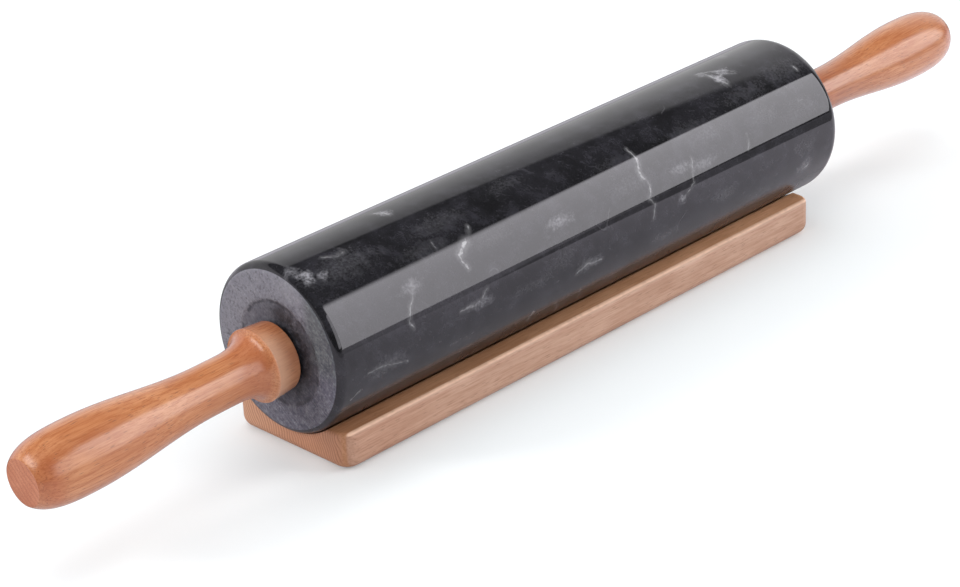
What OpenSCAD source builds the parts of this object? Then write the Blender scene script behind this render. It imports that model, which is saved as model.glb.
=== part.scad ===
// Marble rolling pin with turned wooden handles, lying on a grooved wooden cradle.
// X runs along the pin, Z is up, and the origin is on the floor under the middle of the pin.

/* [Barrel] */
// Length of the stone barrel
barrel_len = 254; // [200:1:320]
// Diameter of the stone barrel
barrel_d = 58.8; // [50:0.2:64]
// Radius of the rounded edge at each end of the barrel
edge_r = 3; // [1:0.1:5]
// Diameter of the hole that runs through the barrel
bore_d = 12.7; // [12:0.1:14.5]
// Chamfer at each mouth of that hole, behind the spot face
bore_chamfer = 0.8; // [0.3:0.1:1.5]
// Diameter of the shallow spot face around the hole in each end
spot_d = 36.4; // [32:0.2:42]
// Depth of the spot face
spot_depth = 0.3; // [0.2:0.05:0.4]
// Distance from the barrel's axis down to the middle of the spot face
spot_drop = 0.7; // [0:0.1:2]
// Distance from the barrel's axis sideways to the middle of the spot face
spot_side = 1.2; // [0:0.1:2]

/* [Axle] */
// Diameter of the steel rod inside the barrel
axle_d = 9; // [8:0.1:9.5]
// Diameter of the rod's threaded ends
thread_d = 6; // [5:0.1:6.4]
// Length of each threaded end
thread_len = 16; // [10:0.5:17]
// Clearance around each threaded end, inside which a handle can lean
thread_slack = 0.3; // [0.3:0.05:0.5]
// Chamfer at each tip of the rod
tip_chamfer = 0.8; // [0.3:0.1:1.5]

/* [Handles] */
// Length of one handle
handle_len = 100.5; // [98:0.1:102.4]
// Diameter of the collar next to the stone
collar_d = 23.9; // [22.5:0.1:25]
// Diameter of the sharp ridge where the collar ends
ridge_d = 25.2; // [24.2:0.1:27.5]
// Length of the collar up to its ridge
collar_len = 9.4; // [8:0.1:11]
// Distance from the stone end of the handle to the start of its waist
cove_end = 20.6; // [18:0.1:23]
// Diameter of the waist
waist_d = 16.7; // [15.5:0.1:18.5]
// Distance from the stone end of the handle to the end of its waist
waist_end = 28.9; // [25:0.1:34]
// Diameter of the belly
belly_d = 24.3; // [22:0.1:27]
// Distance from the stone end of the handle to the widest place of its belly
belly_at = 79.8; // [78:0.1:84]
// Length that the nose would have if it weren't cut flat
nose_reach = 23.2; // [21.5:0.1:30]
// Small break on the collar's edge next to the stone
collar_break = 0.5; // [0.2:0.1:1]
// Angle by which the near handle droops from the rod's line
near_lean = 0.95; // [0:0.05:1]
// Angle by which the far handle rises from the rod's line
far_lean = 0.4; // [0:0.05:1]

/* [Inserts and washers] */
// Outer diameter of the threaded insert in each handle
insert_d = 11; // [10:0.1:12]
// Length of that insert
insert_len = 18; // [17:0.5:22]
// Outer diameter of the thrust washer
washer_d = 19; // [17.5:0.5:22]
// Thickness of the thrust washer
washer_t = 0.5; // [0.4:0.05:0.6]

/* [Cradle] */
// Length of the wooden block
cradle_len = 239.5; // [190:0.5:250]
// Width of the wooden block
cradle_w = 53.2; // [48:0.2:60]
// Height of the lips beside the groove
lip_h = 13.4; // [11:0.1:16]
// Thickness of the wood under the middle of the groove
floor_t = 7.45; // [6:0.05:9]
// Radius of the groove
groove_r = 33; // [31:0.5:40]
// Distance from the middle of the pin to the middle of the block, along the pin
cradle_shift = -4.5; // [-10:0.1:0]
// Radius of the block's upright corners
corner_r = 6; // [5:0.1:8]
// Radius of the block's bottom edges
base_round = 3.9; // [1:0.1:4.8]
// Radius of the block's top edges
top_round = 1.6; // [0.5:0.1:3]

/* [Resting place] */
// Gap between pieces that rest on each other
seat_gap = 0.3; // [0.2:0.05:0.4]
// Height of the rod above the middle of the hole where it leaves the far end of the barrel
far_rise = 0.1; // [0:0.1:1]
// Gap between each end of the barrel and the handle's collar
end_gap = 0.6; // [0.5:0.1:2]

/* [Hidden] */
$fn = 96;

// Clearance around a piece that is glued or threaded into another
fit_gap = 0.05;
// Gap between the rod's shoulders and the handles, which lean a little
shoulder_gap = 0.1;
// How far a cut runs past the surface that it opens
overrun = 1;
// How far the hole for the rod's tip runs past the tip
tip_room = 3;
// Depth of the drill point under that hole
drill_point = 2;
// Number of steps that draw each curved stretch of the handle
curve_steps = 18;
// Fullness of the nose, where 2 is a plain ellipse
nose_power = 2.9;

barrel_r = barrel_d / 2;
axis_z = floor_t + seat_gap + barrel_r;

// The rod lies on the bottom of the hole at the near end and stands a little high at the far end.
near_drop = (bore_d - axle_d) / 2 - seat_gap;
axle_tilt = atan((near_drop + far_rise) / barrel_len);
axle_mid_z = axis_z + (far_rise - near_drop) / 2;
collar_x = barrel_len / 2 + end_gap;

pilot_d = thread_d + 2 * thread_slack;
pilot_len = thread_len + tip_room;

// Puts a piece drawn along Z with its foot at the collar onto the far or the near end of the rod,
// where it leans by the given angle.
module on_axle(side, lean) {
    translate([0, 0, axle_mid_z])
        rotate([0, -axle_tilt, 0])
            translate([side * collar_x, 0, 0])
                rotate([0, side * 90 - lean, 0])
                    children();
}

// Radius of the hollow curve between the ridge and the waist, at share t of its length
function cove_r(t) = (waist_d + (ridge_d - waist_d) * (1 - sqrt(1 - (1 - t) * (1 - t)))) / 2;

// Radius of the long swelling curve between the waist and the belly
function swell_r(t) = (waist_d + (belly_d - waist_d) * (1 - cos(180 * t)) / 2) / 2;

// Radius of the nose at distance u past the belly
function nose_r(u) = belly_d / 2 * pow(1 - pow(u / nose_reach, nose_power), 1 / nose_power);

function handle_outline() = concat(
    [[0, 0], [collar_d / 2 - collar_break, 0], [collar_d / 2, collar_break]],
    [for (i = [0 : curve_steps])
        let (t = i / curve_steps)
        [cove_r(t), collar_len + (cove_end - collar_len) * t]],
    [for (i = [0 : curve_steps])
        let (t = i / curve_steps)
        [swell_r(t), waist_end + (belly_at - waist_end) * t]],
    [for (i = [1 : curve_steps])
        let (t = i / curve_steps, u = (handle_len - belly_at) * sin(90 * t))
        [nose_r(u), belly_at + u]],
    [[0, handle_len]]);

module handle() {
    color("peru")
        difference() {
            rotate_extrude()
                polygon(handle_outline());
            translate([0, 0, -overrun])
                cylinder(h = insert_len + overrun, d = insert_d + 2 * fit_gap);
            cylinder(h = pilot_len + fit_gap, d = pilot_d);
            translate([0, 0, pilot_len + fit_gap])
                cylinder(h = drill_point, d1 = pilot_d, d2 = 0);
        }
}

module insert() {
    color("goldenrod")
        difference() {
            cylinder(h = insert_len, d = insert_d);
            translate([0, 0, -overrun])
                cylinder(h = insert_len + 2 * overrun, d = pilot_d);
        }
}

module washer() {
    color("whitesmoke")
        translate([0, 0, -washer_t])
            difference() {
                cylinder(h = washer_t, d = washer_d);
                translate([0, 0, -overrun])
                    cylinder(h = washer_t + 2 * overrun, d = axle_d + 2 * fit_gap);
            }
}

// Outline of half the barrel, from its middle to its end, turned about its long axis
module barrel_half_outline() {
    half_len = barrel_len / 2;
    mouth = half_len - spot_depth;
    difference() {
        union() {
            square([barrel_r - edge_r, half_len]);
            square([barrel_r, half_len - edge_r]);
            translate([barrel_r - edge_r, half_len - edge_r])
                circle(r = edge_r);
        }
        translate([-overrun, -overrun])
            square([bore_d / 2 + overrun, half_len + 2 * overrun]);
        polygon([[0, half_len + overrun], [0, mouth - bore_chamfer],
                 [bore_d / 2, mouth - bore_chamfer], [bore_d / 2 + bore_chamfer, mouth],
                 [bore_d / 2 + bore_chamfer, half_len + overrun]]);
    }
}

module barrel() {
    color("dimgray")
        translate([0, 0, axis_z])
            rotate([0, 90, 0])
                difference() {
                    rotate_extrude() {
                        barrel_half_outline();
                        mirror([0, 1])
                            barrel_half_outline();
                    }
                    for (side = [0, 1])
                        mirror([0, 0, side])
                            translate([spot_drop, -spot_side, barrel_len / 2 - spot_depth])
                                cylinder(h = spot_depth + overrun, d = spot_d);
                }
}

module axle() {
    color("silver")
        translate([0, 0, axle_mid_z])
            rotate([0, 90 - axle_tilt, 0]) {
                translate([0, 0, shoulder_gap - collar_x])
                    cylinder(h = 2 * (collar_x - shoulder_gap), d = axle_d);
                for (side = [-1, 1])
                    rotate([side < 0 ? 180 : 0, 0, 0]) {
                        cylinder(h = collar_x + thread_len - tip_chamfer, d = thread_d);
                        translate([0, 0, collar_x + thread_len - tip_chamfer])
                            cylinder(h = tip_chamfer, d1 = thread_d, d2 = thread_d - 2 * tip_chamfer);
                    }
            }
}

module near_handle() {
    on_axle(-1, near_lean)
        handle();
}

module far_handle() {
    on_axle(1, far_lean)
        handle();
}

module near_insert() {
    on_axle(-1, near_lean)
        insert();
}

module far_insert() {
    on_axle(1, far_lean)
        insert();
}

module near_washer() {
    on_axle(-1, near_lean)
        washer();
}

module far_washer() {
    on_axle(1, far_lean)
        washer();
}

// Half of the block's upright section, with its rounded bottom and top edge at distance reach
module block_half_outline(reach) {
    intersection() {
        square([reach, lip_h]);
        union() {
            square([reach - base_round, lip_h - top_round]);
            translate([0, base_round])
                square([reach, lip_h - top_round - base_round]);
            translate([0, base_round])
                square([reach - top_round, lip_h - base_round]);
            translate([reach - base_round, base_round])
                circle(r = base_round);
            translate([reach - top_round, lip_h - top_round])
                circle(r = top_round);
        }
    }
}

// Block of the given length and width whose rounded edges run on around its four upright corners
module rounded_block(length, width) {
    straight_x = length - 2 * corner_r;
    straight_y = width - 2 * corner_r;
    translate([-straight_x / 2, 0, 0])
        rotate([90, 0, 90])
            linear_extrude(height = straight_x)
                for (side = [0, 1])
                    mirror([side, 0])
                        block_half_outline(width / 2);
    translate([0, straight_y / 2, 0])
        rotate([90, 0, 0])
            linear_extrude(height = straight_y)
                for (side = [0, 1])
                    mirror([side, 0])
                        block_half_outline(length / 2);
    for (x = [-1, 1], y = [-1, 1])
        translate([x * straight_x / 2, y * straight_y / 2, 0])
            rotate_extrude()
                block_half_outline(corner_r);
}

module cradle() {
    color("burlywood")
        translate([cradle_shift, 0, 0])
            difference() {
                rounded_block(cradle_len, cradle_w);
                translate([-cradle_len / 2 - overrun, 0, floor_t + groove_r])
                    rotate([0, 90, 0])
                        cylinder(h = cradle_len + 2 * overrun, r = groove_r);
            }
}

barrel();
axle();
near_handle();
far_handle();
near_insert();
far_insert();
near_washer();
far_washer();
cradle();
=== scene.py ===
import math
from types import SimpleNamespace

import bmesh
import bpy
from mathutils import Matrix, Vector


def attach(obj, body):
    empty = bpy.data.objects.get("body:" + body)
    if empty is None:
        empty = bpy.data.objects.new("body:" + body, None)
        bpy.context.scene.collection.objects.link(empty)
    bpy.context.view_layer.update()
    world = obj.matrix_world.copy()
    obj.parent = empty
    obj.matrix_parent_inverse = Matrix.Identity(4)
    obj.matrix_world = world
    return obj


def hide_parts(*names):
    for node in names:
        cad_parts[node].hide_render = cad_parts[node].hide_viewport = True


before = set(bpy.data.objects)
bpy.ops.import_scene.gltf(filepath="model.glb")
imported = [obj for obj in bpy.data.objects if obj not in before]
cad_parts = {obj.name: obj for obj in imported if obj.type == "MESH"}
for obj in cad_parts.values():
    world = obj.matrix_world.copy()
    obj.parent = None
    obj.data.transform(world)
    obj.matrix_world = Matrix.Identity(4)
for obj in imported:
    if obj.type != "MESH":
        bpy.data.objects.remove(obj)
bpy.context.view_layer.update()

MM = 0.001

# Barrel, in millimetres
BARREL_LEN = 254.0
BARREL_R = 29.4
EDGE_R = 3.0
FAR_EDGE_REACH = 4.2
FACE_R = 27.4
BORE_R = 6.35
BORE_CHAMFER = 0.8
SPOT_R = 18.2
SPOT_DEPTH = 0.3
SPOT_SIDE = 1.2
SPOT_DROP = 0.7
SPOT_SLOPE = 0.9
AXIS_Z = 37.15

# Handles, measured from the collar's face, in millimetres
AXLE_MID_Z = 36.425
AXLE_RISE = 1.65
AXLE_TILT = math.atan2(AXLE_RISE, BARREL_LEN)
COLLAR_X = 127.6
HANDLE_LEN = 100.5
COLLAR_R = 11.95
COLLAR_BREAK = 0.5
COLLAR_LEN = 9.4
RIDGE_R = 12.6
RIDGE_SOFT = 0.2
COVE_START = 10
COVE_END = 20.6
WAIST_R = 8.35
WAIST_END = 28.9
BELLY_R = 12.15
BELLY_AT = 79.8
NOSE_REACH = 23.2
NOSE_POWER = 2.9
NOSE_BREAK = 0.1
NOSE_EASE = 0.12
SOCKET_R = 5.55
SOCKET_LEN = 18.0
PILOT_R = 3.3
PILOT_LEN = 19.05
PILOT_TIP = 21.05
LEANS = {"near": math.radians(0.95), "far": math.radians(0.4)}

# Cradle, in millimetres
CRADLE_LEN = 239.5
CRADLE_W = 53.2
CRADLE_H = 13.4
CRADLE_SHIFT = -4.5
CORNER_R = 6.0
BASE_ROUND = 3.9
TOP_ROUND = 1.6
GROOVE_R = 30.4
GROOVE_AXIS_Z = 37.85
GROOVE_EASE = 0.35
GROOVE_OVERRUN = 10

# Fineness of the meshes. SUPPORT is how far from an edge the ring lies that keeps it crisp.
SUPPORT = 0.25
COLLAR_FLARE = 0.02
SIDE_RINGS = (15.0, 45.0, 75.0, 105.0)
BARREL_SEGMENTS = 288
HANDLE_SEGMENTS = 160
GROOVE_SEGMENTS = 360
EDGE_STEPS = 14
WAIST_STEPS = 4
BELLY_STEPS = 40
NOSE_STEPS = 28
CORNER_STEPS = 12


# ---------------------------------------------------------------- camera

CAMERA_PLACE = Vector((-0.61897, -0.58837, 0.42611))
CAMERA_AZIMUTH = math.radians(-44.79)
CAMERA_ELEVATION = math.radians(25.97)
CAMERA_ROLL = math.radians(-2.60)
CAMERA_LENS = 101.177
SENSOR_WIDTH = 36.0


def add_camera():
    """Puts the camera where the photograph was taken from."""
    flat = math.cos(CAMERA_ELEVATION)
    ahead = Vector((-math.sin(CAMERA_AZIMUTH) * flat,
                    math.cos(CAMERA_AZIMUTH) * flat,
                    -math.sin(CAMERA_ELEVATION)))
    level = ahead.cross(Vector((0, 0, 1))).normalized()
    upright = level.cross(ahead)
    right = math.cos(CAMERA_ROLL) * level + math.sin(CAMERA_ROLL) * upright
    up = math.cos(CAMERA_ROLL) * upright - math.sin(CAMERA_ROLL) * level
    turn = Matrix((right, up, -ahead)).transposed().to_4x4()
    data = bpy.data.cameras.new("camera")
    data.lens = CAMERA_LENS
    data.sensor_fit = "HORIZONTAL"
    data.sensor_width = SENSOR_WIDTH
    data.clip_start = 0.01
    data.clip_end = 50
    camera = bpy.data.objects.new("camera", data)
    camera.matrix_world = Matrix.Translation(CAMERA_PLACE) @ turn
    bpy.context.scene.collection.objects.link(camera)
    bpy.context.scene.camera = camera


# ---------------------------------------------------------------- meshes

def new_object(name, mesh):
    """Puts a mesh into the scene under a name."""
    piece = bpy.data.objects.new(name, mesh)
    bpy.context.scene.collection.objects.link(piece)
    return piece


def smooth(mesh, angle):
    """Smooth shading, with an edge kept sharp where its faces turn by more than the angle."""
    for face in mesh.polygons:
        face.use_smooth = True
    mesh.set_sharp_from_angle(angle=math.radians(angle))


def span(bm, low, high):
    """Faces between two rings of points, of which one may be a single point."""
    count = max(len(low), len(high))
    for i in range(count):
        j = (i + 1) % count
        if len(low) == 1:
            corners = (low[0], high[j], high[i])
        elif len(high) == 1:
            corners = (low[i], low[j], high[0])
        else:
            corners = (low[i], low[j], high[j], high[i])
        bm.faces.new(corners)


def loft(name, rings, closed=False, capped=False):
    """Mesh that joins rings of points one after the other. Closed joins the last to the first,
    and capped fills both. A ring of one point is a tip."""
    bm = bmesh.new()
    loops = [[bm.verts.new(point) for point in ring] for ring in rings]
    pairs = list(zip(loops, loops[1:]))
    if closed:
        pairs.append((loops[-1], loops[0]))
    for low, high in pairs:
        span(bm, low, high)
    if capped:
        bm.faces.new(loops[0])
        bm.faces.new(loops[-1])
    bmesh.ops.recalc_face_normals(bm, faces=bm.faces)
    mesh = bpy.data.meshes.new(name)
    bm.to_mesh(mesh)
    bm.free()
    return mesh


def arc(start, end, steps):
    """Angles from start to end in degrees, both ends included, in radians."""
    return [math.radians(start + (end - start) * i / steps) for i in range(steps + 1)]


def barrel_half(reach):
    """Rings of one half, from the middle of the side to the bore. Its edge is rounded over the
    reach along the barrel."""
    end = BARREL_LEN / 2
    mouth = end - SPOT_DEPTH
    soft = SPOT_SLOPE / 2
    centre = (0, 0)
    spot = (-SPOT_SIDE, -SPOT_DROP)
    rings = [(x, BARREL_R, centre) for x in (*SIDE_RINGS, end - reach - SUPPORT)]
    for angle in arc(0, 90, EDGE_STEPS):
        rings.append((end - reach + reach * math.sin(angle),
                      BARREL_R - EDGE_R + EDGE_R * math.cos(angle), centre))
    rings.append((end, BARREL_R - EDGE_R - SUPPORT, centre))
    rings.append((end, SPOT_R + soft + SUPPORT, spot))
    rings.append((end, SPOT_R + soft, spot))
    rings.append((mouth, SPOT_R - soft, spot))
    rings.append((mouth, SPOT_R - soft - SUPPORT, spot))
    rings.append((mouth, BORE_R + BORE_CHAMFER + SUPPORT, centre))
    rings.append((mouth, BORE_R + BORE_CHAMFER, centre))
    rings.append((mouth - BORE_CHAMFER, BORE_R, centre))
    return rings


def build_barrel():
    """Stone barrel with rounded edges, an off-centre spot face in each end and a bore."""
    near_half = [(-x, radius, middle) for x, radius, middle in barrel_half(EDGE_R)]
    whole = barrel_half(FAR_EDGE_REACH) + near_half[::-1]
    rings = []
    for x, radius, (side, drop) in whole:
        ring = []
        for i in range(BARREL_SEGMENTS):
            turn = 2 * math.pi * i / BARREL_SEGMENTS
            ring.append((x * MM,
                         (side + radius * math.sin(turn)) * MM,
                         (AXIS_Z + drop + radius * math.cos(turn)) * MM))
        rings.append(ring)
    mesh = loft("stone_barrel", rings, closed=True)
    smooth(mesh, 32)
    return new_object("stone_barrel", mesh)


def collar_profile():
    """Outline of the collar, from its face to the ridge."""
    inner = COLLAR_R - COLLAR_BREAK
    points = [(inner - SUPPORT, 0)]
    for angle in arc(0, 90, 5):
        points.append((inner + COLLAR_BREAK * math.sin(angle),
                       COLLAR_BREAK - COLLAR_BREAK * math.cos(angle)))
    points.append((COLLAR_R + COLLAR_FLARE, COLLAR_BREAK + SUPPORT))
    points.append((RIDGE_R - COLLAR_FLARE, COLLAR_LEN - (RIDGE_SOFT + SUPPORT)))
    for angle in arc(0, 90, 4):
        points.append((RIDGE_R - RIDGE_SOFT + RIDGE_SOFT * math.cos(angle),
                       COLLAR_LEN - RIDGE_SOFT + RIDGE_SOFT * math.sin(angle)))
    return points


def grip_profile():
    """Outline from the cove behind the ridge over waist and belly to the middle of the nose."""
    points = []
    for angle in arc(COVE_START, 90, 22):
        points.append((WAIST_R + (RIDGE_R - WAIST_R) * (1 - math.sin(angle)),
                       COLLAR_LEN + (COVE_END - COLLAR_LEN) * (1 - math.cos(angle))))
    for i in range(1, WAIST_STEPS):
        points.append((WAIST_R, COVE_END + (WAIST_END - COVE_END) * i / WAIST_STEPS))
    for i in range(BELLY_STEPS + 1):
        share = i / BELLY_STEPS
        points.append((WAIST_R + (BELLY_R - WAIST_R) * (1 - math.cos(math.pi * share)) / 2,
                       WAIST_END + (BELLY_AT - WAIST_END) * share))
    for angle in arc(90 / NOSE_STEPS, 90, NOSE_STEPS - 1):
        u = (HANDLE_LEN - BELLY_AT) * math.sin(angle)
        points.append((BELLY_R * (1 - (u / NOSE_REACH) ** NOSE_POWER) ** (1 / NOSE_POWER),
                       BELLY_AT + u))
    last = points.pop()[0]
    flat = last - NOSE_BREAK
    points += [(last + NOSE_BREAK / 2, HANDLE_LEN - NOSE_EASE), (flat, HANDLE_LEN),
               (flat - SUPPORT, HANDLE_LEN), (0, HANDLE_LEN)]
    return points


def handle_profile():
    """Outline of a handle as (radius, distance from the collar's face), from socket to nose."""
    socket = [(0, PILOT_TIP), (PILOT_R, PILOT_LEN), (PILOT_R, SOCKET_LEN),
              (SOCKET_R, SOCKET_LEN), (SOCKET_R, 0)]
    return socket + collar_profile() + grip_profile()


def build_handle(end):
    """Turned grip, drawn along its own Z and put on the rod's end, where it leans a little."""
    rings = []
    for radius, u in handle_profile():
        if radius == 0:
            rings.append([(0, 0, u * MM)])
            continue
        rings.append([(radius * MM * math.cos(2 * math.pi * i / HANDLE_SEGMENTS),
                       radius * MM * math.sin(2 * math.pi * i / HANDLE_SEGMENTS),
                       u * MM) for i in range(HANDLE_SEGMENTS)])
    mesh = loft(end + "_grip", rings)
    smooth(mesh, 40)
    piece = new_object(end + "_grip", mesh)
    side = -1 if end == "near" else 1
    piece.matrix_world = (
        Matrix.Translation((0, 0, AXLE_MID_Z * MM))
        @ Matrix.Rotation(-AXLE_TILT, 4, "Y")
        @ Matrix.Translation((side * COLLAR_X * MM, 0, 0))
        @ Matrix.Rotation(side * math.pi / 2 - LEANS[end], 4, "Y"))
    return piece


def block_ring(inset, height):
    """Points around the cradle's block at one height, pulled in by the inset."""
    radius = CORNER_R - inset
    half_x = CRADLE_LEN / 2 - CORNER_R
    half_y = CRADLE_W / 2 - CORNER_R
    ring = []
    for quarter, (sx, sy) in enumerate(((1, 1), (-1, 1), (-1, -1), (1, -1))):
        for angle in arc(90 * quarter, 90 * quarter + 90, CORNER_STEPS):
            ring.append(((CRADLE_SHIFT + sx * half_x + radius * math.cos(angle)) * MM,
                         (sy * half_y + radius * math.sin(angle)) * MM,
                         height * MM))
    return ring


def groove_tool():
    """Round bar that cuts the groove."""
    turns = [2 * math.pi * (i + 0.5) / GROOVE_SEGMENTS for i in range(GROOVE_SEGMENTS)]
    reach = CRADLE_LEN / 2 + GROOVE_OVERRUN
    rings = [[((CRADLE_SHIFT + x) * MM,
               GROOVE_R * math.sin(turn) * MM,
               (GROOVE_AXIS_Z - GROOVE_R * math.cos(turn)) * MM) for turn in turns]
             for x in (-reach, reach)]
    return new_object("groove_tool", loft("groove_tool", rings, capped=True))


def settle(piece):
    """Applies a piece's modifiers to its mesh."""
    graph = bpy.context.evaluated_depsgraph_get()
    mesh = bpy.data.meshes.new_from_object(piece.evaluated_get(graph))
    piece.modifiers.clear()
    piece.data = mesh


def build_cradle():
    """Beech block with rounded edges, a long concave groove and eased groove rims."""
    sections = [(BASE_ROUND * (1 - math.sin(a)), BASE_ROUND * (1 - math.cos(a)))
                for a in arc(0, 90, 9)]
    sections += [(TOP_ROUND * (1 - math.cos(a)), CRADLE_H - TOP_ROUND * (1 - math.sin(a)))
                 for a in arc(0, 90, 7)]
    rings = [block_ring(inset, height) for inset, height in sections]
    piece = new_object("cradle_block", loft("cradle_block", rings, capped=True))
    tool = groove_tool()
    cut = piece.modifiers.new("groove", "BOOLEAN")
    cut.operation = "DIFFERENCE"
    cut.solver = "EXACT"
    cut.object = tool
    settle(piece)
    bpy.data.objects.remove(tool)
    ease = piece.modifiers.new("ease", "BEVEL")
    ease.limit_method = "ANGLE"
    ease.angle_limit = math.radians(27)
    ease.width = GROOVE_EASE * MM
    ease.segments = 3
    settle(piece)
    smooth(piece.data, 40)
    level = piece.modifiers.new("level", "WEIGHTED_NORMAL")
    level.keep_sharp = True
    settle(piece)
    return piece


# ---------------------------------------------------------------- materials

class Graph:
    """Node tree of a material or of the world, with short calls that return output sockets."""

    def __init__(self, owner):
        owner.use_nodes = True
        self.owner = owner
        self.tree = owner.node_tree
        self.shader = self.tree.nodes.get("Principled BSDF")

    def node(self, kind, inputs=(), **settings):
        """New node with its inputs plugged and its settings set."""
        made = self.tree.nodes.new(kind)
        for key, value in settings.items():
            setattr(made, key, value)
        for key, value in dict(inputs).items():
            self.plug(made.inputs[key], value)
        return made

    def plug(self, socket, value):
        """Links an output to a socket, or sets a plain value on it."""
        if isinstance(value, bpy.types.NodeSocket):
            self.tree.links.new(value, socket)
        else:
            socket.default_value = value

    def math(self, operation, a, b=0.0, c=0.0):
        made = self.node("ShaderNodeMath", {0: a, 1: b, 2: c}, operation=operation)
        return made.outputs[0]

    def add(self, a, b):
        return self.math("ADD", a, b)

    def minus(self, a, b):
        return self.math("SUBTRACT", a, b)

    def times(self, a, b):
        return self.math("MULTIPLY", a, b)

    def larger(self, a, b):
        return self.math("MAXIMUM", a, b)

    def smaller(self, a, b):
        return self.math("MINIMUM", a, b)

    def apart(self, a, b):
        """Distance between two values."""
        return self.math("ABSOLUTE", self.minus(a, b))

    def hypot(self, a, b):
        """Length of the vector with these two sides."""
        return self.math("SQRT", self.add(self.times(a, a), self.times(b, b)))

    def hold(self, value):
        """The value kept between 0 and 1."""
        return self.smaller(self.larger(value, 0.0), 1.0)

    def vector(self, operation, a, b=(0, 0, 0), scale=None):
        made = self.node("ShaderNodeVectorMath", {0: a, 1: b}, operation=operation)
        if scale is not None:
            self.plug(made.inputs["Scale"], scale)
        out = "Value" if operation in ("LENGTH", "DOT_PRODUCT") else "Vector"
        return made.outputs[out]

    def split(self, vector):
        return self.node("ShaderNodeSeparateXYZ", {0: vector}).outputs

    def join(self, x, y, z):
        return self.node("ShaderNodeCombineXYZ", {0: x, 1: y, 2: z}).outputs[0]

    def place(self, unit=MM):
        """The point on the piece, in millimetres or in another unit given in metres."""
        point = self.node("ShaderNodeTexCoord").outputs["Object"]
        return self.vector("SCALE", point, scale=1 / unit)

    def noise(self, vector, size, detail=3.0, rough=0.55, twist=0.0):
        """Noise from 0 to 1 whose features are about the given size, in the vector's unit."""
        return self.node("ShaderNodeTexNoise", {
            "Vector": vector, "Scale": 1 / size, "Detail": detail,
            "Roughness": rough, "Distortion": twist}).outputs["Fac"]

    def waver(self, vector, size, amount, detail=3.0, rough=0.55):
        """Noise about zero, from minus to plus half the amount."""
        return self.times(self.minus(self.noise(vector, size, detail, rough), 0.5), amount)

    def jitter(self, vector, size, amount):
        """The vector moved about by noise of the given size, by up to about half the amount."""
        shift = self.node("ShaderNodeTexNoise", {
            "Vector": vector, "Scale": 1 / size, "Detail": 2.0}).outputs["Color"]
        centred = self.vector("SUBTRACT", shift, (0.5, 0.5, 0.5))
        return self.vector("ADD", vector, self.vector("SCALE", centred, scale=amount))

    def cells(self, vector, size):
        """Distance to the nearest of scattered points, and a random value of that point."""
        made = self.node("ShaderNodeTexVoronoi", {"Vector": vector, "Scale": 1 / size})
        return made.outputs["Distance"], self.split(made.outputs["Color"])[0]

    def band(self, value, low, high, start=0.0, end=1.0, soft=True):
        """Maps low..high of a value to start..end and holds it outside them."""
        made = self.node("ShaderNodeMapRange", {
            "Value": value, "From Min": low, "From Max": high,
            "To Min": start, "To Max": end})
        made.interpolation_type = "SMOOTHSTEP" if soft else "LINEAR"
        return made.outputs["Result"]

    def mix(self, share, a, b, blend="MIX"):
        """Colour a with the share of colour b laid over it."""
        made = self.node("ShaderNodeMix", data_type="RGBA", blend_type=blend)
        self.plug(made.inputs[0], share)
        self.plug(made.inputs[6], a)
        self.plug(made.inputs[7], b)
        return made.outputs[2]

    def tint(self, share, color, shade):
        """The colour multiplied by a shade, where the share is full."""
        return self.mix(share, color, shade, "MULTIPLY")

    def bump(self, height, distance):
        made = self.node("ShaderNodeBump", {
            "Height": height, "Distance": distance, "Strength": 1.0})
        return made.outputs[0]

    def rays(self):
        """Outputs that tell which kind of ray looks at the surface."""
        return self.node("ShaderNodeLightPath").outputs

    def finish(self, color, roughness, normal=None, **fixed):
        """Plugs the maps into the shader and sets the values that are the same all over."""
        self.plug(self.shader.inputs["Base Color"], color)
        self.plug(self.shader.inputs["Roughness"], roughness)
        if normal is not None:
            self.plug(self.shader.inputs["Normal"], normal)
        for key, value in fixed.items():
            self.shader.inputs[key.replace("_", " ")].default_value = value
        return self.owner


def surface(name):
    """Graph of a new material."""
    return Graph(bpy.data.materials.new(name))


def grey(level, tint=0.0):
    """Grey with a little less green and more blue for a positive tint."""
    return (level, level * (1 - 0.15 * tint), level * (1 + tint), 1)


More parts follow.
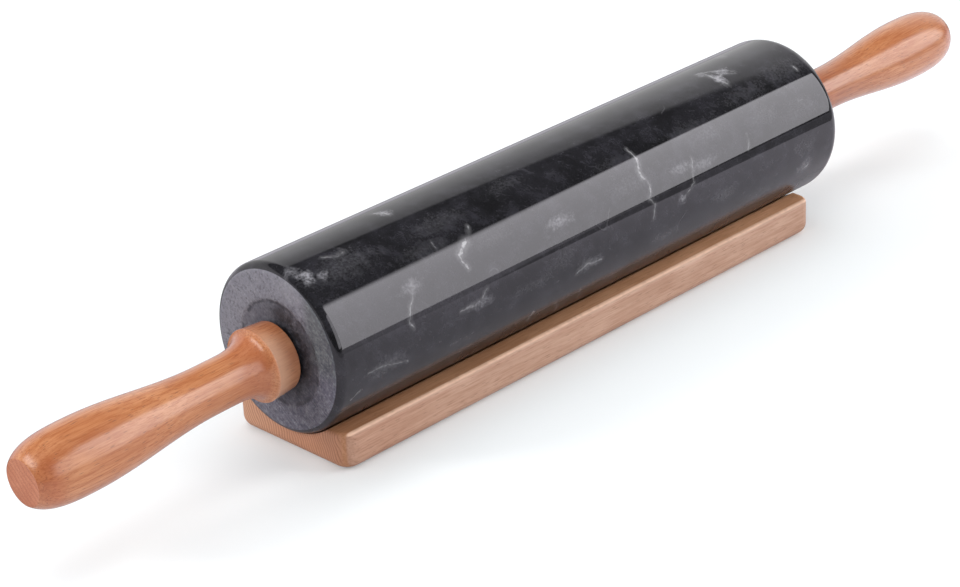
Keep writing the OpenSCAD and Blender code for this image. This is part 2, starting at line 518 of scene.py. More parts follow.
# Veins of the stone: width in millimetres, brightness, then points as millimetres along the
# barrel from its middle and degrees round it from the top towards the camera's side.
VEINS = (
    (0.55, 0.60, ((-89, 54), (-91, 62), (-94, 70), (-95.2, 77), (-94.5, 81))),
    (0.60, 0.80, ((-57, 37), (-59, 42.5), (-63.5, 47))),
    (1.05, 0.95, ((-61, 45.5), (-64, 48), (-66.4, 51.5))),
    (0.60, 0.70, ((-66.4, 51), (-66.6, 55.5), (-65.0, 62))),
    (0.35, 0.45, ((-73, 36), (-73.5, 40.5))),
    (0.60, 0.50, ((-60, 79.5), (-62.5, 84), (-66, 86.4), (-73, 86))),
    (0.55, 0.75, ((22.6, 35), (23.5, 41), (23.5, 47))),
    (0.85, 0.90, ((23.5, 44), (21.8, 52), (22.0, 58))),
    (0.50, 0.70, ((22.0, 57), (23.5, 63.5), (22.6, 68))),
    (0.55, 0.45, ((22.6, 68), (21.4, 72), (23.7, 77.6), (22, 87))),
    (0.45, 0.45, ((47, 60), (45.1, 72), (45, 77), (41.4, 80.5), (37.8, 84))),
    (0.60, 0.45, ((81, -1), (86, 3), (90, 7), (93, 13))),
    (0.90, 0.60, ((83, 5), (83.6, 12), (84.6, 21))),
    (0.60, 0.50, ((84.5, 13), (88.5, 11), (92, 15))),
    (0.50, 0.90, ((117.4, 31.5), (117.7, 35))),
    (0.45, 0.40, ((77, 62), (75.8, 72))),
    (0.50, 0.45, ((107.5, 108), (110, 105))),
    (0.50, 0.30, ((-115, 97.5), (-110.5, 96), (-104.5, 98.5), (-97, 103))),
    (0.40, 0.45, ((-121, 112), (-117.5, 107.5))),
    (0.65, 0.42, ((-17, 99.5), (-14, 98), (-11.5, 96), (-5, 98.5))),
    (0.50, 0.65, ((-36.7, 116), (-37.2, 124))),
    (0.40, 0.55, ((-25, 117), (-21, 131))),
    (0.40, 0.45, ((-12.7, 117), (-11.3, 128))),
    (0.60, 0.45, ((-111, 13.5), (-106, 17.5), (-103, 16))),
    (0.85, 0.65, ((-78, -8), (-76, -3), (-75.5, 2))),
    (0.80, 0.80, ((-98, 196), (-90, 201), (-86, 213), (-88, 224))),
    (0.50, 0.50, ((-40, 168), (-36, 182), (-39, 196), (-33, 207))),
    (0.95, 0.85, ((4, -88), (9, -80), (8, -71), (14, -62))),
    (0.55, 0.55, ((9, -80), (16, -79), (21, -84))),
    (0.50, 0.55, ((60, -120), (64, -108), (62, -98))),
    (0.85, 0.70, ((96, -62), (91, -53), (95, -44), (92, -38))),
    (0.60, 0.60, ((-70, -112), (-66, -104), (-68, -93), (-63, -84))),
    (0.70, 0.65, ((70, 172), (76, 178), (79, 190))),
)

# Cloudy patches: middle as above, half length and half height in millimetres, brightness.
CLOUDS = (
    (-121.8, 22, 4.2, 3.6, 0.95),
    (-116.5, 26, 4.0, 2.2, 0.55),
    (-124, 13, 3.5, 3.5, 0.45),
    (-108, 26, 20, 7.0, 0.12),
    (-66, 26, 16, 5.5, 0.09),
    (-78, 39, 16, 4.0, 0.08),
    (-32, 20, 12, 4.5, 0.07),
    (88, 34, 20, 6.0, 0.08),
    (52, 40, 15, 3.4, 0.08),
    (12, 40, 13, 3.2, 0.05),
    (-50, 51, 12, 4.0, 0.07),
    (60, 50, 12, 4.0, 0.09),
    (90, 55, 10, 5.0, 0.08),
    (-38, 92, 16, 3.0, 0.07),
    (30, 105, 14, 3.4, 0.08),
    (-72, 108, 14, 3.0, 0.06),
    (82, 110, 12, 4.0, 0.08),
    (-104, 16, 7, 3.0, 0.16),
    (-76, -3, 3.6, 3.6, 0.50),
    (-21, 60, 8.0, 2.8, 0.44),
    (-90, 57, 7, 3.4, 0.30),
    (-63, 87, 6.5, 2.6, 0.30),
    (41, 63, 9, 2.6, 0.34),
    (52, 67, 10, 2.6, 0.30),
    (15, 58, 14, 5.0, 0.08),
    (37.5, 83, 2.6, 2.6, 0.45),
    (84.2, 13.5, 3.4, 4.8, 0.95),
    (89, 8.5, 5.0, 3.0, 0.62),
    (81.5, 2, 3.4, 2.4, 0.45),
    (101, -10, 3.0, 3.0, 0.30),
    (112, 32, 20, 7.0, 0.09),
    (108, 60, 14, 6.0, 0.06),
    (-11, 97, 7, 3.6, 0.22),
    (-24, 85, 10, 4.0, 0.07),
    (-107, 98, 11, 4.5, 0.13),
    (62, 96, 9, 4.0, 0.10),
    (108, 106, 6, 4.5, 0.26),
    (107, 88, 10, 6.0, 0.08),
    (-93, 205, 9, 7.0, 0.50),
    (-20, 182, 26, 10.0, 0.16),
    (10, -78, 9, 6.0, 0.60),
    (-30, -60, 30, 12.0, 0.16),
    (-67, -102, 8, 5.0, 0.40),
    (94, -50, 8, 6.0, 0.50),
    (75, 180, 9, 6.0, 0.40),
)

# The unrolled side has its seam at this share of a half turn, behind the stone and below.
SEAM = 0.72

# Each vein has a faint halo, so many times as wide and with this share of its brightness.
HALO_WIDTH = 3.0
HALO_SHARE = 0.26

# The smears are drawn out along this way, and the scratches on the ends lean by this angle.
SMEAR_WAY = (0.80, -0.42, -0.43)
SMEAR_PULL = 0.6
SCRATCH_LEAN = 37.7


def line_distance(g, point, start, end):
    """Distance from the point to the straight line between two fixed points."""
    along = end - start
    offset = g.vector("SUBTRACT", point, tuple(start))
    share = g.hold(g.times(g.vector("DOT_PRODUCT", offset, tuple(along)), 1 / along.length_squared))
    reach = g.vector("SCALE", tuple(along), scale=share)
    return g.vector("LENGTH", g.vector("SUBTRACT", offset, reach))


def on_chart(along, degrees):
    """Place on the barrel's unrolled side, in millimetres."""
    return Vector((along, math.radians(degrees) * BARREL_R, 0))


def stone_veins(g, at):
    """Brightness of the veins, broken up along their length."""
    wavy = g.jitter(g.jitter(at.chart, 5.0, 2.4), 1.0, 0.6)
    total = 0.0
    for width, bright, points in VEINS:
        spots = [on_chart(*point) for point in points]
        nearest = None
        for start, end in zip(spots, spots[1:]):
            far = line_distance(g, wavy, start, end)
            nearest = far if nearest is None else g.smaller(nearest, far)
        core = g.band(nearest, width, 0.0, 0, bright)
        halo = g.band(nearest, HALO_WIDTH * width, 0.0, 0, HALO_SHARE * bright)
        total = g.larger(total, g.larger(core, halo))
    broken = g.band(g.noise(at.place, 1.7, 4, 0.6), 0.34, 0.56, 0.38, 0.86)
    return g.times(total, broken)


def stone_clouds(g, at, ragged, speckle):
    """Brightness of the cloudy patches, with ragged borders and a speckled inside."""
    total = 0.0
    for along, degrees, half_long, half_high, bright in CLOUDS:
        offset = g.vector("SUBTRACT", at.chart, tuple(on_chart(along, degrees)))
        far = g.vector("LENGTH", g.vector("MULTIPLY", offset, (1 / half_long, 1 / half_high, 0)))
        total = g.larger(total, g.band(g.add(far, ragged), 1.0, 0.1, 0, bright))
    return g.times(total, g.band(speckle, 0.36, 0.62, 0.25, 1.0))


def stone_places(g):
    """Where a point of the stone lies, in millimetres: its place, its height over the axis, its
    distance from the axis, and its place on the unrolled side, which has its seam behind."""
    at = SimpleNamespace(place=g.place())
    at.x, at.y, at.z = g.split(at.place)
    at.rise = g.minus(at.z, AXIS_Z)
    front = g.times(at.y, -1.0)
    around = g.times(g.math("ARCTAN2", front, at.rise), BARREL_R)
    around = g.math("WRAP", around, -math.pi * BARREL_R * SEAM, math.pi * BARREL_R * (2 - SEAM))
    at.chart = g.join(at.x, around, 0.0)
    at.radius = g.hypot(at.y, at.rise)
    return at


def polished_stone(g, at):
    """Colour of the side: near black, mottled and smeared, with threads, clouds and veins. The
    speckle is returned too."""
    loose = g.jitter(at.place, 14, 8)
    pull = g.times(g.vector("DOT_PRODUCT", loose, SMEAR_WAY), -SMEAR_PULL)
    pull = g.vector("SCALE", SMEAR_WAY, scale=pull)
    smeared = g.vector("ADD", loose, pull)
    drift = g.noise(at.place, 34, 4, 0.6)
    mottle = g.noise(loose, 7.5, 6, 0.68)
    smears = g.noise(smeared, 2.2, 5, 0.66)
    speckle = g.noise(at.place, 0.9, 4, 0.7)
    region = g.band(g.noise(at.place, 19, 3), 0.40, 0.62, 0.2, 1.0)
    side = g.mix(g.band(drift, 0.35, 0.68), grey(0.0090, 0.10), grey(0.017, 0.16))
    side = g.mix(g.band(mottle, 0.42, 0.76, 0, 0.58), side, grey(0.048, 0.20))
    side = g.mix(g.times(g.band(smears, 0.52, 0.82, 0, 0.48), region), side, grey(0.090, 0.14))
    side = g.mix(g.band(speckle, 0.54, 0.80, 0, 0.34), side, grey(0.10, 0.10))
    threads = g.apart(g.noise(loose, 30, 2, 0.5), 0.5)
    threads = g.times(g.band(threads, 0.006, 0.0), g.band(g.noise(at.place, 11, 3), 0.58, 0.70))
    side = g.mix(g.times(threads, 0.16), side, grey(0.22, 0.08))
    ragged = g.waver(loose, 2.6, 1.9, 5, 0.66)
    side = g.mix(stone_clouds(g, at, ragged, speckle), side, grey(0.36, 0.08))
    side = g.mix(stone_veins(g, at), side, grey(0.50, 0.04))
    return side, speckle


def honed_stone(g, at, speckle, spot, spot_far):
    """Colour of the end faces: grey, with painted light that makes it paler uphill and painted shade
    on the camera's side, fine slanting scratches, blotches, a paler patch near the top, a worn spot
    face with a painted shadow inside its rim, and a painted shadow round the collar. Scratches and
    blotches come too."""
    lean = math.radians(SCRATCH_LEAN)
    slant = g.join(g.times(g.add(g.times(at.y, math.cos(lean)), g.times(at.z, math.sin(lean))), 0.05),
                   g.add(g.times(at.y, -math.sin(lean)), g.times(at.z, math.cos(lean))), at.x)
    scratch = g.band(g.noise(slant, 0.45, 3, 0.6), 0.44, 0.66)
    blotch = g.noise(g.jitter(at.place, 3, 2), 2.2, 7, 0.78)
    # Painted light: the face is paler up and away from the camera, and darker down and towards it.
    uphill = g.add(g.times(at.y, 0.78), g.times(at.rise, 0.62))
    honed = g.mix(g.band(uphill, -24, 22), grey(0.080, 0.38), grey(0.200, 0.16))
    honed = g.mix(g.band(blotch, 0.46, 0.66, 0, 0.60), honed, grey(0.27, 0.10))
    honed = g.mix(g.band(blotch, 0.47, 0.30, 0, 0.75), honed, grey(0.030, 0.16))
    honed = g.mix(g.times(scratch, 0.26), honed, grey(0.33, 0.08))
    honed = g.mix(g.band(speckle, 0.54, 0.72, 0, 0.58), honed, grey(0.38, 0.06))
    honed = g.mix(g.band(speckle, 0.47, 0.30, 0, 0.72), honed, grey(0.022, 0.16))
    # Painted shade on the camera's side of the face, right of the collar, which also cools its tint.
    shaded_flank = g.times(g.band(at.y, -12.5, -18), g.band(at.rise, -6, 2))
    honed = g.tint(shaded_flank, honed, (0.73, 0.81, 0.73, 1))
    # A patch near the top of the face, on the camera's side, is paler.
    paler_patch = g.times(g.band(at.y, 0, -7), g.band(at.y, -15.5, -12))
    paler_patch = g.times(paler_patch, g.band(at.rise, 17, 22))
    honed = g.mix(g.times(paler_patch, 0.3), honed, grey(0.33, 0.08))
    worn = g.band(g.noise(at.place, 6.0, 4, 0.6), 0.30, 0.60, 0.45, 1.0)
    honed = g.mix(g.times(g.times(spot, worn), 0.42), honed, grey(0.046, 0.36))
    # Painted shadow: a broken dark line just inside the rim of the spot face, where its step casts
    # shade.
    ring = g.apart(g.add(spot_far, g.waver(at.place, 3.5, 2.4)), SPOT_R - 0.6)
    rim = g.times(g.band(ring, 1.1, 0.1), g.band(g.noise(at.place, 4.0, 3), 0.40, 0.56))
    honed = g.mix(g.times(rim, 0.62), honed, grey(0.020, 0.20))
    # Painted shadow of the collar: nearly black close round it, strongest on the camera's side,
    # broken up by the blotches.
    painted_shading = g.add(g.times(at.y, -1.0), g.times(at.rise, 0.2))
    painted_shading = g.times(g.band(at.radius, 21.0, 13.0), g.band(painted_shading, -5.0, 8.0, 0.20, 1.0))
    painted_shading = g.times(painted_shading, g.band(blotch, 0.64, 0.44, 0.6, 1.0))
    return g.mix(g.times(painted_shading, 0.95), honed, grey(0.009, 0.20)), scratch, blotch


def marble():
    """Polished black stone with grey clouds and white veins, honed on its end faces."""
    g = surface("marble_polished")
    at = stone_places(g)

    # The end faces are honed out to a line just inside the polished rounded edge.
    deep = g.band(g.math("ABSOLUTE", at.x), BARREL_LEN / 2 - 1.4, BARREL_LEN / 2 - 0.9)
    inside = g.band(at.radius, FACE_R + 0.15, FACE_R - 0.15)
    face = g.times(deep, inside)
    spot_far = g.hypot(g.add(at.y, SPOT_SIDE), g.add(at.rise, SPOT_DROP))
    spot = g.band(spot_far, SPOT_R + 0.1, SPOT_R - 0.5)
    side, speckle = polished_stone(g, at)
    honed, scratch, blotch = honed_stone(g, at, speckle, spot, spot_far)
    color = g.mix(face, side, honed)

    # The side is duller along the bottom, where it turns in the groove.
    polish = g.band(g.noise(at.place, 12, 4), 0.3, 0.7, 0.030, 0.050)
    polish = g.add(polish, g.band(at.rise, -9.5, -15.0, 0.0, 0.24))
    matt = g.add(g.band(scratch, 0, 1, 0.54, 0.60), g.times(spot, -0.05))
    roughness = g.add(g.times(polish, g.minus(1.0, face)), g.times(matt, face))
    relief = g.times(g.add(g.times(scratch, 0.8), g.times(blotch, 1.2)), face)
    normal = g.bump(relief, 0.00008)
    return g.finish(color, roughness, normal, IOR=1.6, Specular_Tint=(0.96, 0.93, 1.0, 1))


def wood(g, along, across, deep, tones, pith, ring, layers=0.25, fleck_dark=0.6):
    """Beech colour and relief, its strands and its late growth. The three coordinates are in
    millimetres, with the first one along the fibres. The pith is where the growth layers have
    their middle, seen end on, and the ring is how thick a layer is."""
    fibre = g.join(g.times(along, 0.04), across, deep)
    slow = g.join(g.times(along, 0.12), across, deep)
    wander = g.waver(slow, 14, 5.0)
    radius = g.hypot(g.minus(across, pith[0]), g.minus(deep, pith[1]))
    layer = g.math("FRACT", g.times(g.add(radius, wander), 1 / ring))
    late = g.times(g.band(layer, 0.35, 0.92), g.band(layer, 1.0, 0.93))
    strands = g.noise(fibre, 0.50, 5, 0.72)
    cords = g.noise(g.join(g.times(along, 0.03), across, deep), 1.15, 4, 0.7)
    streaks = g.noise(slow, 3.0, 4, 0.6, 0.3)
    patches = g.noise(g.join(g.times(along, 0.35), across, deep), 13, 3, 0.5)

    pale, middle, dark, fleck = tones
    color = g.mix(g.band(streaks, 0.32, 0.68), pale, middle)
    color = g.mix(g.times(g.band(patches, 0.42, 0.70), 0.60), color, dark)
    color = g.mix(g.times(late, layers), color, dark)
    color = g.mix(g.times(g.band(cords, 0.50, 0.68), 0.42), color, dark)
    color = g.mix(g.times(g.band(strands, 0.48, 0.66), 0.85), color, dark)
    color = g.mix(g.times(g.band(strands, 0.50, 0.30), 0.50), color, pale)

    rays = g.join(g.times(along, 0.085), across, deep)
    distance, chance = g.cells(rays, 0.50)
    ray = g.times(g.band(distance, 0.27, 0.10), g.band(chance, 0.42, 0.54))
    color = g.mix(g.times(ray, fleck_dark), color, fleck)
    relief = g.minus(g.add(g.times(strands, 0.8), g.times(cords, 0.6)), g.times(ray, 0.5))
    return color, relief, strands, late


# The pale, middle and dark tone of each wood and its flecks
LACQUERED_TONES = ((0.640, 0.275, 0.120, 1), (0.550, 0.200, 0.070, 1), (0.410, 0.112, 0.030, 1),
                   (0.095, 0.028, 0.011, 1))
END_TONES = ((0.60, 0.255, 0.150, 1), (0.53, 0.198, 0.108, 1), (0.39, 0.120, 0.062, 1),
             (0.18, 0.060, 0.035, 1))
CRADLE_TONES = ((0.62, 0.390, 0.290, 1), (0.55, 0.330, 0.234, 1), (0.44, 0.238, 0.155, 1),
                (0.22, 0.100, 0.055, 1))

# Where the pith of each piece lies, and how thick its growth layers look, in millimetres
HANDLE_PITH = {"near": (46, -49), "far": (-60, 38)}
CRADLE_PITH = (150, -35)
HANDLE_RING = 2.3
HANDLE_END_RING = 1.9
CRADLE_RING = 1.2
OTHER_BLANK = 300.0


def lacquered_beech(end):
    """Turned beech under satin lacquer, with a painted highlight on the collar's camera side, painted
    shade where the collar meets the stone, darker and warmer in the cove, partly from its end grain
    and partly painted shade, and painted shade on the nose and the nape. The far handle is turned
    from another part of the blank and has painted shade towards the stone."""
    g = surface(end + "_lacquered_beech")
    up, across, along = g.split(g.place())
    grain = along if end == "near" else g.add(along, OTHER_BLANK)
    color, relief, strands = wood(g, grain, up, across, LACQUERED_TONES, HANDLE_PITH[end],
                                  HANDLE_RING)[:3]
    # Painted shade where the collar meets the stone: darker towards the collar's face.
    color = g.tint(g.band(along, 8.0, 1.0, 0, 0.9), color, (0.86, 0.74, 0.66, 1))
    # Painted highlight: the collar is paler on its camera side, most towards the ridge.
    collar = g.times(g.band(along, COLLAR_LEN + 0.3, COLLAR_LEN - 0.5), g.band(across, 1, -10, 0, 1))
    collar = g.times(collar, g.band(along, 2.0, 8.5, 0.35, 1.0))
    color = g.mix(g.times(collar, 0.62), color, (0.86, 0.52, 0.36, 1))
    # The far handle gets painted shade towards the stone, from its waist to the collar.
    if end == "far":
        color = g.tint(g.band(along, 62, 26), color, (0.78, 0.70, 0.72, 1))
    # Darker and warmer in the cove: partly its cut end grain, partly painted shade in the hollow.
    cove = g.times(g.band(along, COLLAR_LEN, COLLAR_LEN + 2.5), g.band(along, 28, 14))
    color = g.mix(g.times(cove, 0.44), color, (0.44, 0.100, 0.030, 1))
    # Painted shade on the nose, on the camera's side, close to the end.
    nose = g.times(g.band(along, 90, 96), g.band(across, -4, -9))
    color = g.tint(nose, color, (0.88, 0.70, 0.62, 1))
    # Painted shade on the nape, behind the nose, on the side away from the camera.
    painted_nape_shade = g.times(g.band(along, 80, 92), g.band(across, 0.5, 5))
    color = g.tint(painted_nape_shade, color, (0.86, 0.68, 0.62, 1))
    roughness = g.band(strands, 0.3, 0.7, 0.38, 0.50)
    normal = g.bump(relief, 0.00006)
    g.plug(g.shader.inputs["Coat Normal"], g.bump(relief, 0.00004))
    return g.finish(color, roughness, normal, IOR=1.4, Coat_Weight=1.0,
                    Coat_Roughness=0.15, Coat_IOR=1.55)


def end_grain(end):
    """Sawn and sanded end of a handle, where the growth layers show as slanting lines."""
    g = surface(end + "_handle_end")
    place = g.place()
    up, across, along = g.split(place)
    color, relief = wood(g, along, up, across, END_TONES, HANDLE_PITH[end], HANDLE_END_RING,
                         layers=0.65, fleck_dark=0.2)[:2]
    pores = g.band(g.noise(place, 0.35, 2), 0.58, 0.72)
    color = g.mix(g.times(pores, 0.30), color, END_TONES[3])
    normal = g.bump(g.minus(relief, pores), 0.00004)
    return g.finish(color, g.band(pores, 0, 1, 0.45, 0.6), normal, IOR=1.5)


def plain_beech():
    """Sanded beech of the cradle, with growth layers that stand upright on its ends."""
    g = surface("cradle_beech")
    place = g.place()
    along, across, deep = g.split(place)
    color, relief, strands, late = wood(g, along, across, deep, CRADLE_TONES, CRADLE_PITH,
                                        CRADLE_RING)
    color = g.tint(g.band(along, -62, -112, 0, 0.75), color, (0.88, 0.78, 0.72, 1))
    ends = g.band(g.apart(along, CRADLE_SHIFT), CRADLE_LEN / 2 - 1.2, CRADLE_LEN / 2 - 0.2)
    sawn = g.mix(g.band(across, -4, 22), (0.56, 0.260, 0.145, 1), (0.68, 0.370, 0.230, 1))
    color = g.mix(g.times(ends, 0.68), color, sawn)
    color = g.mix(g.times(g.times(ends, late), 0.62), color, (0.27, 0.092, 0.042, 1))

    # Painted shade darkens and warms the top, most at the near end, and painted light brightens it
    # towards the far end. The front edge along it carries a painted highlight.
    sideways = g.math("ABSOLUTE", across)
    top = g.times(g.band(sideways, CRADLE_W / 2 - 1.3, CRADLE_W / 2 - 2.0), g.minus(1.0, ends))
    painted_lip_shading = g.mix(g.band(along, -70, 115), (1.0, 0.85, 0.64, 1), (1.40, 1.22, 0.95, 1))
    color = g.tint(top, color, painted_lip_shading)
    # Painted highlight along the front top edge, broken up by noise.
    arris = g.hypot(g.minus(deep, CRADLE_H - 0.15), g.minus(sideways, CRADLE_W / 2 - 1.15))
    painted_shading = g.times(g.band(arris, 1.10, 0.45), g.band(g.noise(place, 2.5, 3), 0.30, 0.55, 0.7, 1.0))
    color = g.mix(g.times(painted_shading, 0.92), color, (1.0, 0.66, 0.48, 1))
    roughness = g.band(strands, 0.3, 0.7, 0.44, 0.56)
    normal = g.bump(relief, 0.00005)
    return g.finish(color, roughness, normal, IOR=1.48)


def steel():
    """Drawn steel rod with fine lines along it."""
    g = surface("drawn_steel")
    place = g.place()
    x, y, z = g.split(place)
    lines = g.noise(g.join(g.times(x, 0.02), y, z), 0.25, 4, 0.6)
    haze = g.noise(place, 9, 3)
    color = g.mix(lines, (0.50, 0.50, 0.52, 1), (0.66, 0.66, 0.67, 1))
    roughness = g.add(g.band(lines, 0.3, 0.7, 0.22, 0.34), g.times(haze, 0.05))
    return g.finish(color, roughness, g.bump(lines, 0.000008), Metallic=1.0)


def brass():
    """Turned brass with fine rings around it."""
    g = surface("turned_brass")
    place = g.place()
    x, y, z = g.split(place)
    rings = g.noise(g.join(x, g.times(y, 0.02), g.times(z, 0.02)), 0.18, 3, 0.6)
    stain = g.noise(place, 3, 4)
    color = g.mix(g.band(stain, 0.35, 0.7), (0.72, 0.52, 0.22, 1), (0.55, 0.36, 0.14, 1))
    roughness = g.band(rings, 0.3, 0.7, 0.20, 0.36)
    return g.finish(color, roughness, g.bump(rings, 0.000008), Metallic=1.0)


def nylon():
    """Natural nylon, slightly mottled."""
    g = surface("natural_nylon")
    place = g.place()
    cloud = g.noise(place, 1.8, 4)
    color = g.mix(g.band(cloud, 0.3, 0.7), (0.80, 0.79, 0.75, 1), (0.70, 0.69, 0.64, 1))
    grain = g.noise(place, 0.25, 2)
    return g.finish(color, g.band(cloud, 0.3, 0.7, 0.42, 0.55), g.bump(grain, 0.00001), IOR=1.53)


# ---------------------------------------------------------------- stage

FLOOR_REACH = 12.0
FLOOR_DROP = 0.0002
FLOOR_COLOR = (0.787, 0.800, 0.808, 1)
FLOOR_MIRRORED = (0.790, 0.750, 0.810, 1)
FLOOR_GLOW = 0.18
GLOW_COLOR = (0.88, 1.0, 1.06, 1)

# Where the bright table ends on the camera's side: straight lines by a point and a slope, in
# millimetres, and how near the edge comes to the object.
FRONT_EDGE = (144.0, -344.0, 0.2)
CORNER_EDGE = (259.0, -321.0, 1.525)
NEAREST_EDGE = -150.0


def card(name, corners):
    """Flat sheet between four corners, such as the floor or the softbox."""
    mesh = bpy.data.meshes.new(name)
    mesh.from_pydata([tuple(corner) for corner in corners], [], [(0, 1, 2, 3)])
    sheet = new_object(name, mesh)
    return sheet


def edge_line(g, x, line):
    """Where a straight edge of the table lies in y, for each x."""
    through_x, through_y, slope = line
    return g.add(g.times(g.minus(x, through_x), slope), through_y)


def floor_mirrored(g, x, y):
    """How bright each place of the floor shows in the stone. It is dark beyond the edge of the
    table, dim close behind the object, and full far behind it."""
    front = edge_line(g, x, FRONT_EDGE)
    corner = edge_line(g, x, CORNER_EDGE)
    edge = g.larger(front, g.smaller(corner, NEAREST_EDGE))
    lit = g.band(g.minus(y, edge), -4.0, 4.0)
    beyond = g.band(g.add(x, y), -115.0, -165.0, 0.28, 0.62)
    leftward = g.band(x, 320.0, -40.0, 1.0, 0.60)
    behind = g.times(g.band(y, 70.0, 380.0, 0.14, 0.82), g.band(x, 0.0, 300.0, 1.0, 0.92))
    past = g.band(y, 0.0, 60.0)
    level = g.add(g.times(behind, past), g.times(leftward, g.minus(1.0, past)))
    return g.times(g.larger(lit, beyond), level)


def add_floor():
    """White floor that keeps the shadow, and that mirrors dark beyond the edge of the table."""
    floor = card("floor", ((-FLOOR_REACH, -FLOOR_REACH, -FLOOR_DROP),
                           (FLOOR_REACH, -FLOOR_REACH, -FLOOR_DROP),
                           (FLOOR_REACH, FLOOR_REACH, -FLOOR_DROP),
                           (-FLOOR_REACH, FLOOR_REACH, -FLOOR_DROP)))
    g = surface("floor_white")
    x, y = g.split(g.place())[:2]
    rays = g.rays()
    mirrored = floor_mirrored(g, x, y)
    shown = g.minus(1.0, g.times(rays["Is Glossy Ray"], g.minus(1.0, mirrored)))
    seen = g.larger(rays["Is Camera Ray"], rays["Is Glossy Ray"])
    seen = g.larger(seen, rays["Is Transmission Ray"])
    color = g.mix(shown, (0, 0, 0, 1), g.mix(rays["Is Glossy Ray"], FLOOR_COLOR, FLOOR_MIRRORED))
    g.plug(g.shader.inputs["Emission Color"], GLOW_COLOR)
    g.plug(g.shader.inputs["Emission Strength"], g.times(g.times(seen, shown), FLOOR_GLOW))
    g.shader.inputs["Specular IOR Level"].default_value = 0.0
    floor.data.materials.append(g.finish(color, 1.0))


# Softbox: an upright sheet that faces the object from the camera's side, in metres
SOFTBOX_FACING = (0.2144, -0.9767, 0)
SOFTBOX_AWAY = 2.268
SOFTBOX_LEFT = 0.15
SOFTBOX_RIGHT = 3.75
SOFTBOX_TOP = 3.18
SOFTBOX_FOOT_LEFT = -0.18
SOFTBOX_FOOT_RIGHT = 0.357

# Its brightness grows from the floor up to a height. Left of a narrow step it is faint, and it
# starts to fade at a height that rises from one x to another.
SOFTBOX_DIM = 2.9
SOFTBOX_BRIGHT = 4.0
SOFTBOX_FULL_Z = 3.0
SOFTBOX_FAINT = 0.10
SOFTBOX_STEP_X = (0.99, 1.11)
SOFTBOX_FADE_X = (2.4, 3.3)
SOFTBOX_FADE_Z = (2.52, 2.91)


def add_softbox():
    """Tall upright light, brighter at its top, faint at its left and fading out at the very
    top, a little higher up on its right."""
    facing = Vector(SOFTBOX_FACING).normalized()

    def point(x, z):
        return Vector((x, (facing.x * x - SOFTBOX_AWAY) / -facing.y, z))

    sheet = card("softbox", (point(SOFTBOX_LEFT, SOFTBOX_FOOT_LEFT),
                             point(SOFTBOX_RIGHT, SOFTBOX_FOOT_RIGHT),
                             point(SOFTBOX_RIGHT, SOFTBOX_TOP),
                             point(SOFTBOX_LEFT, SOFTBOX_TOP)))
    sheet.visible_camera = False
    g = surface("softbox_light")
    g.tree.nodes.clear()
    place = g.split(g.place(unit=1.0))
    x, z = place[0], place[2]
    level = g.band(z, 0.0, SOFTBOX_FULL_Z, SOFTBOX_DIM, SOFTBOX_BRIGHT, soft=False)
    level = g.times(level, g.band(x, *SOFTBOX_STEP_X, SOFTBOX_FAINT, 1.0))
    fade_from = g.band(x, *SOFTBOX_FADE_X, *SOFTBOX_FADE_Z)
    faded = g.math("DIVIDE", g.minus(z, fade_from), g.minus(SOFTBOX_TOP, fade_from))
    glow = g.node("ShaderNodeEmission", {"Strength": g.times(level, g.band(faded, 1.0, 0.0))})
    out = g.node("ShaderNodeOutputMaterial")
    g.plug(out.inputs["Surface"], glow.outputs[0])
    sheet.data.materials.append(g.owner)


def add_lamp(name, place, target, width, height, power):
    """Soft lamp that shines from its place towards the target, in metres and watts."""
    data = bpy.data.lights.new(name, "AREA")
    data.shape = "RECTANGLE"
    data.size = width
    data.size_y = height
    data.energy = power
    lamp = bpy.data.objects.new(name, data)
    ahead = (Vector(target) - Vector(place)).normalized()
    lamp.matrix_world = (Matrix.Translation(place)
                         @ ahead.to_track_quat("-Z", "Y").to_matrix().to_4x4())
    bpy.context.scene.collection.objects.link(lamp)
    return lamp


def light_only(lamp, piece):
    """Lets a lamp reach one piece alone."""
    reached = bpy.data.collections.new("mirrors_" + lamp.name)
    reached.objects.link(piece)
    lamp.light_linking.receiver_collection = reached


# Place and target, width and height in metres, and power in watts of each lamp
LAMPS = {
    "top_light": ((0.1, 0.25, 1.7), (0, 0.05, 0), 1.5, 1.2, 8.5),
    "left_light": ((-1.25, 0.80, 0.85), (-0.1, 0, 0.03), 0.4, 0.4, 10.5),
    "side_glow": ((0.25, -2.20, 1.2), (-0.20, 0, 1.2), 1.4, 2.0, 17.0),
    "nose_glow": ((-1.03, 0.24, 1.24), (-0.22, 0, 0.03), 1.4, 0.48, 8.6),
}


def add_lamps(near_grip):
    """Two lamps that light the object without showing in it, and two that only show in it: one
    carries on the softbox to the left, and one is the small highlight on the near nose."""
    lamps = {name: add_lamp(name, *values) for name, values in LAMPS.items()}
    for name in ("top_light", "left_light"):
        lamps[name].visible_glossy = False
    for name in ("side_glow", "nose_glow"):
        lamps[name].visible_diffuse = False
    light_only(lamps["nose_glow"], near_grip)


# How bright the surroundings light the object, and how bright their ceiling shows in it
AMBIENT = 0.74
CEILING = 0.03

# The ceiling starts where a direction's width and depth no longer outweigh its height.
WALL_WIDE = 0.674
WALL_DEEP = 0.06
WALL_HIGH = 0.738


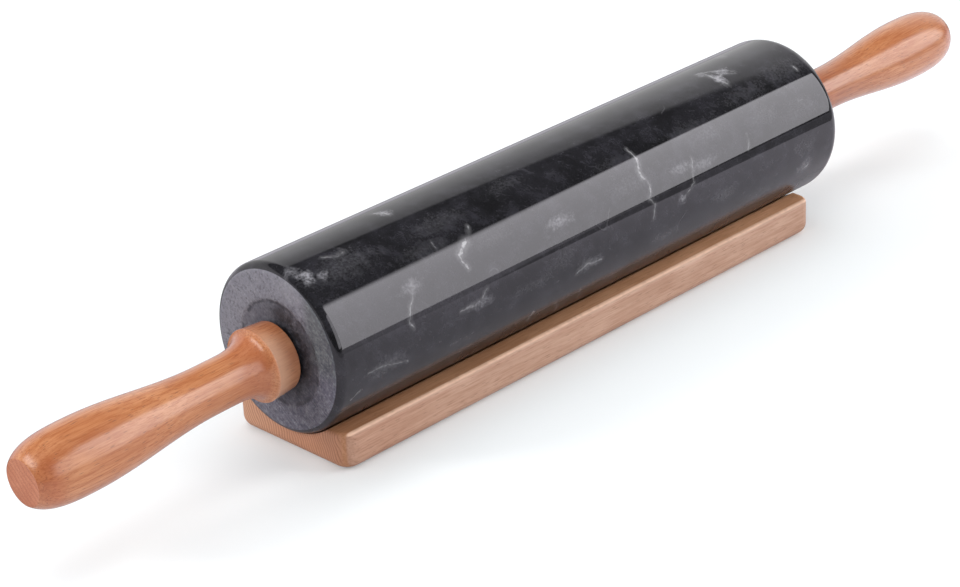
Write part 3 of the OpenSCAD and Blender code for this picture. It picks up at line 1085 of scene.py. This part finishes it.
def add_world():
    """White surroundings for the camera, even soft light, and in reflections pale walls under a
    dark ceiling. The walls are dimmer close under the ceiling and dark on the camera's side."""
    world = bpy.data.worlds.new("studio")
    bpy.context.scene.world = world
    g = Graph(world)
    x, y, z = g.split(g.node("ShaderNodeTexCoord").outputs["Generated"])
    wide = g.larger(x, g.times(y, 0.75))
    wide = g.larger(wide, g.times(x, -0.25))
    wall = g.add(g.times(wide, WALL_WIDE), g.times(y, WALL_DEEP))
    wall = g.minus(wall, g.times(z, WALL_HIGH))
    walls = g.band(wall, -0.030, 0.004)
    fade = g.band(wall, -0.08, 0.17, 0.50, 1.0, soft=False)
    behind = g.band(y, -0.25, 0.10)
    sideways = g.band(x, 0.655, 0.710, 0.80, 0.99, soft=False)
    mirrored = g.times(g.times(g.times(walls, behind), fade), sideways)
    mirrored = g.larger(mirrored, CEILING)
    rays = g.rays()
    glossy = g.times(rays["Is Glossy Ray"], mirrored)
    even = g.times(rays["Is Diffuse Ray"], AMBIENT)
    clear = g.larger(rays["Is Camera Ray"], rays["Is Transmission Ray"])
    back = g.tree.nodes["Background"]
    g.plug(back.inputs["Color"], (1, 1, 1, 1))
    g.plug(back.inputs["Strength"], g.add(g.add(glossy, even), clear))


# ---------------------------------------------------------------- the whole scene

def dress(piece, body, node, slot, *materials):
    """Gives a piece its materials and its body, and hides the CAD node it stands for. The slot, the
    name of its finish, is not used.
    """
    piece.data.materials.clear()
    for material in materials:
        piece.data.materials.append(material)
    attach(piece, body)
    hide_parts(node)


def paint_end(grip):
    """Gives the flat end of a handle its second material."""
    for face in grip.data.polygons:
        if face.center.z > (HANDLE_LEN - NOSE_EASE / 4) * MM:
            face.material_index = 1


def repaint(node, material):
    """Gives a CAD node that keeps its shape a better material."""
    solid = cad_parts[node]
    solid.data.materials.clear()
    solid.data.materials.append(material)


add_camera()
barrel = build_barrel()
dress(barrel, "barrel", "barrel", "marble", marble())
cradle = build_cradle()
dress(cradle, "cradle", "cradle", "plain_beech", plain_beech())
grips = {}
for end in ("near", "far"):
    grip = build_handle(end)
    dress(grip, "handles", end + "_handle", "lacquered_beech", lacquered_beech(end), end_grain(end))
    paint_end(grip)
    grips[end] = grip
repaint("axle", steel())
brass_finish = brass()
nylon_finish = nylon()
for end in ("near", "far"):
    repaint(end + "_insert", brass_finish)
    repaint(end + "_washer", nylon_finish)

add_floor()
add_softbox()
add_lamps(grips["near"])
add_world()
bpy.context.scene.view_settings.view_transform = "Standard"
